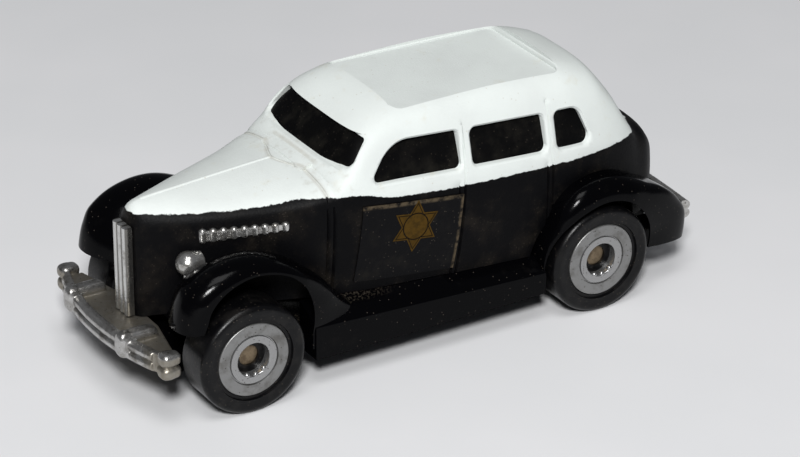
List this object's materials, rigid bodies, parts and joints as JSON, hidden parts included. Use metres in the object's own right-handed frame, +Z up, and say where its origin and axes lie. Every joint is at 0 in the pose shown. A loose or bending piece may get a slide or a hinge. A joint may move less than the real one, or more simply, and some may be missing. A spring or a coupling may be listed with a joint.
{
  "type": "toy police car",
  "caption": "Thumb-sized free-wheeling toy saloon in a black and white patrol finish, with rounded fenders, silver bumpers and star labels on its doors; its wheels turn on wire axles.",
  "frame": {"origin": "on the ground, in the middle of the car's length and width", "axes": "+X forward, +Y to the car's left, +Z up"},
  "size_m": [0.0318, 0.0124, 0.0127],
  "materials": {
    "body_paint": "matt black moulding with its upper part painted off-white, worn along the border",
    "glazing": "matt, dusty",
    "chassis_black": "glossy",
    "rivet_metal": "bare",
    "silver_trim": "worn satin silver",
    "axle_wire": "dull",
    "wheel_black": "matt, dusty",
    "hub_foil": "foil, lightly worn",
    "label_film": "paper label with a gold star"
  },
  "bodies": {
    "body": {"body_shell": "body_paint", "glazing_insert": "glazing", "fender_unit": "chassis_black", "base_plate": "chassis_black", "chassis_rivets": "rivet_metal", "front_bumper": "silver_trim", "rear_bumper": "silver_trim", "grille": "silver_trim", "headlamp_left": "silver_trim", "headlamp_right": "silver_trim", "door_label_left": "label_film", "door_label_right": "label_film"},
    "front_wheelset": {"front_axle": "axle_wire", "wheel_front_left": "wheel_black", "wheel_front_right": "wheel_black", "hub_front_left": "hub_foil", "hub_front_right": "hub_foil"},
    "rear_wheelset": {"rear_axle": "axle_wire", "wheel_rear_left": "wheel_black", "wheel_rear_right": "wheel_black", "hub_rear_left": "hub_foil", "hub_rear_right": "hub_foil"}
  },
  "joints": [
    {"name": "front_wheels_roll", "type": "hinge", "parent": "body", "child": "front_wheelset", "pos_m": [0.01038, 0, 0.0028], "axis": [0, 1, 0], "continuous": true},
    {"name": "rear_wheels_roll", "type": "hinge", "parent": "body", "child": "rear_wheelset", "pos_m": [-0.00932, 0, 0.0028], "axis": [0, 1, 0], "continuous": true}
  ]
}
